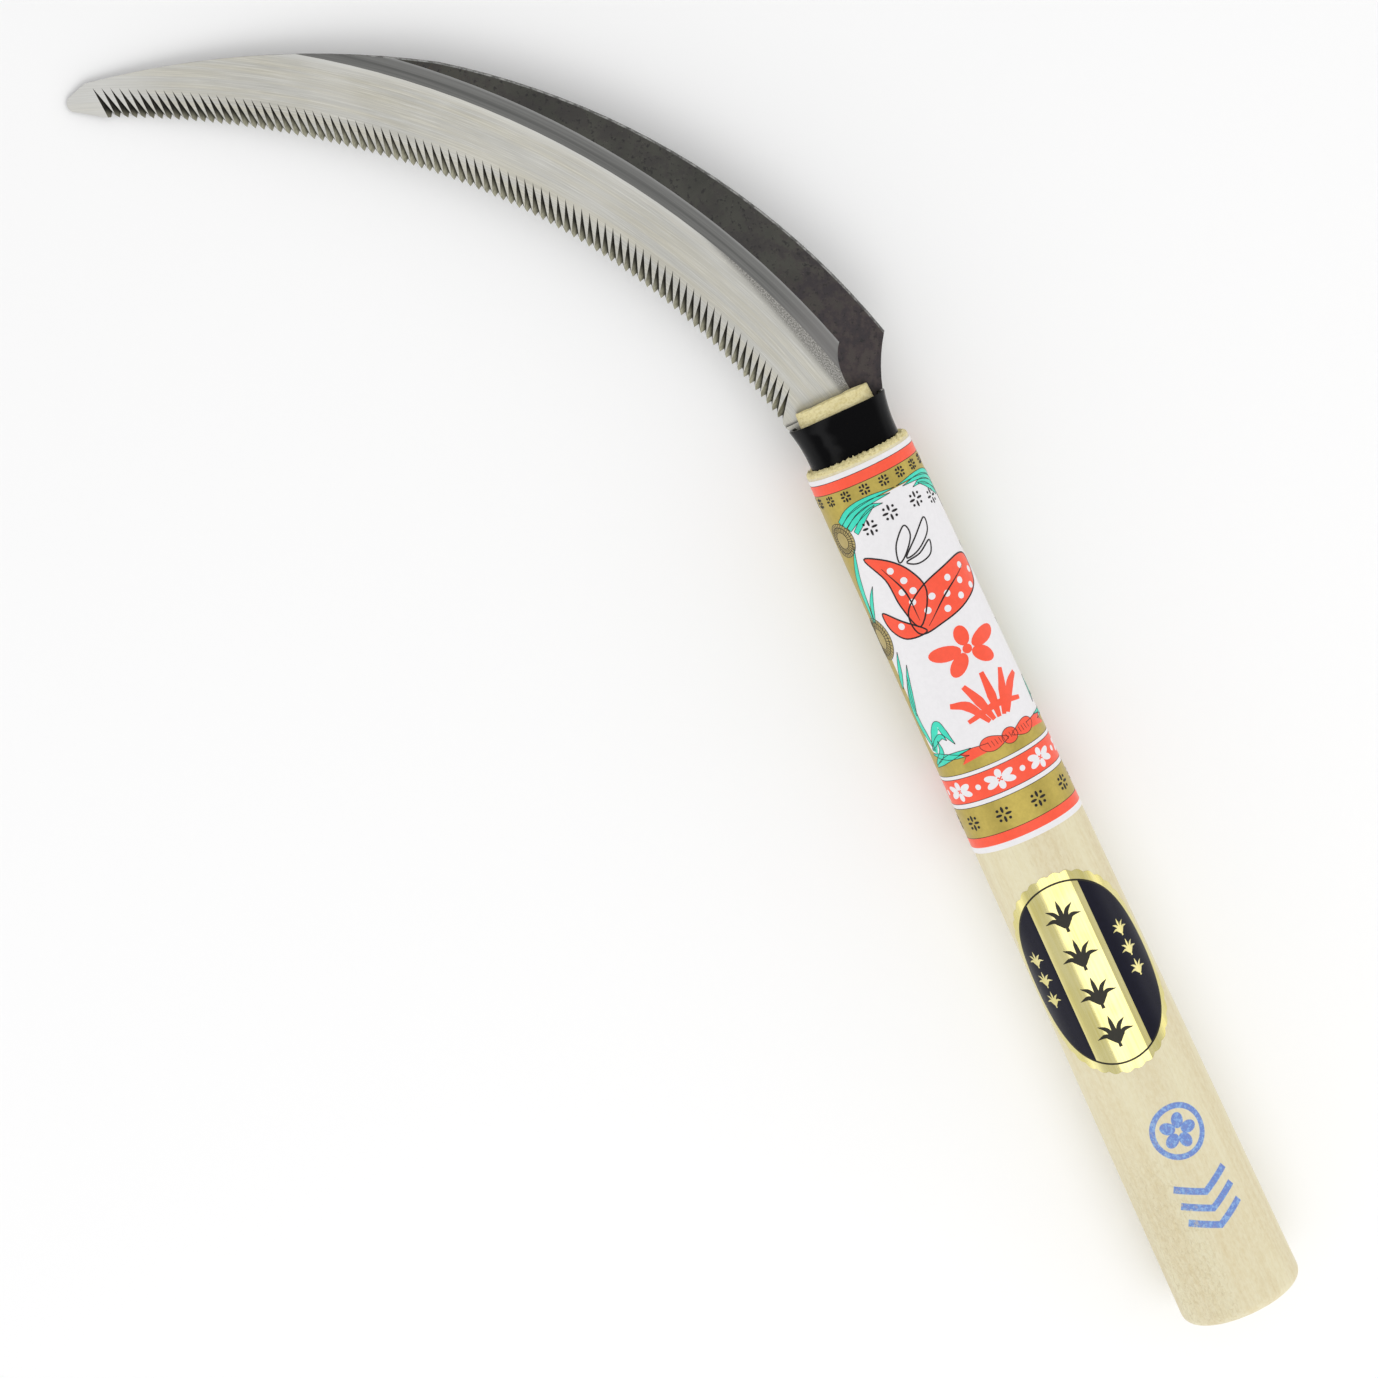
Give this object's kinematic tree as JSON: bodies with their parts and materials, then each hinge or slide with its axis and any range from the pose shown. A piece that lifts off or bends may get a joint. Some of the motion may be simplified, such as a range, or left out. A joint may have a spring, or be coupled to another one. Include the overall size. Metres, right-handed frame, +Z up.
{
  "type": "hand sickle",
  "caption": "Hand sickle with a curved saw-toothed blade, black steel ferrule and tapered round wooden handle, for cutting grass and grain by a pull stroke.",
  "frame": {"origin": "on the handle axis, at the shoulder where the wood is necked down to enter the ferrule; the grip mount starts here", "axes": "+X along the handle axis toward the blade, +Y the side that the blade curves to, +Z up, away from the surface that the sickle lies on"},
  "size_m": [0.3758, 0.1484, 0.0301],
  "materials": {
    "blade_steel": "ground bevel, dark as-forged spine",
    "handle_wood": "smooth bare pale wood",
    "ferrule_steel": "glossy black",
    "pin_steel": "plain",
    "label_paper": "printed coated paper",
    "seal_foil": "glossy gold foil"
  },
  "bodies": {
    "root": {"blade": "blade_steel", "handle": "handle_wood", "ferrule": "ferrule_steel", "tang_pin": "pin_steel", "paper_label": "label_paper", "foil_seal": "seal_foil"}
  },
  "joints": []
}
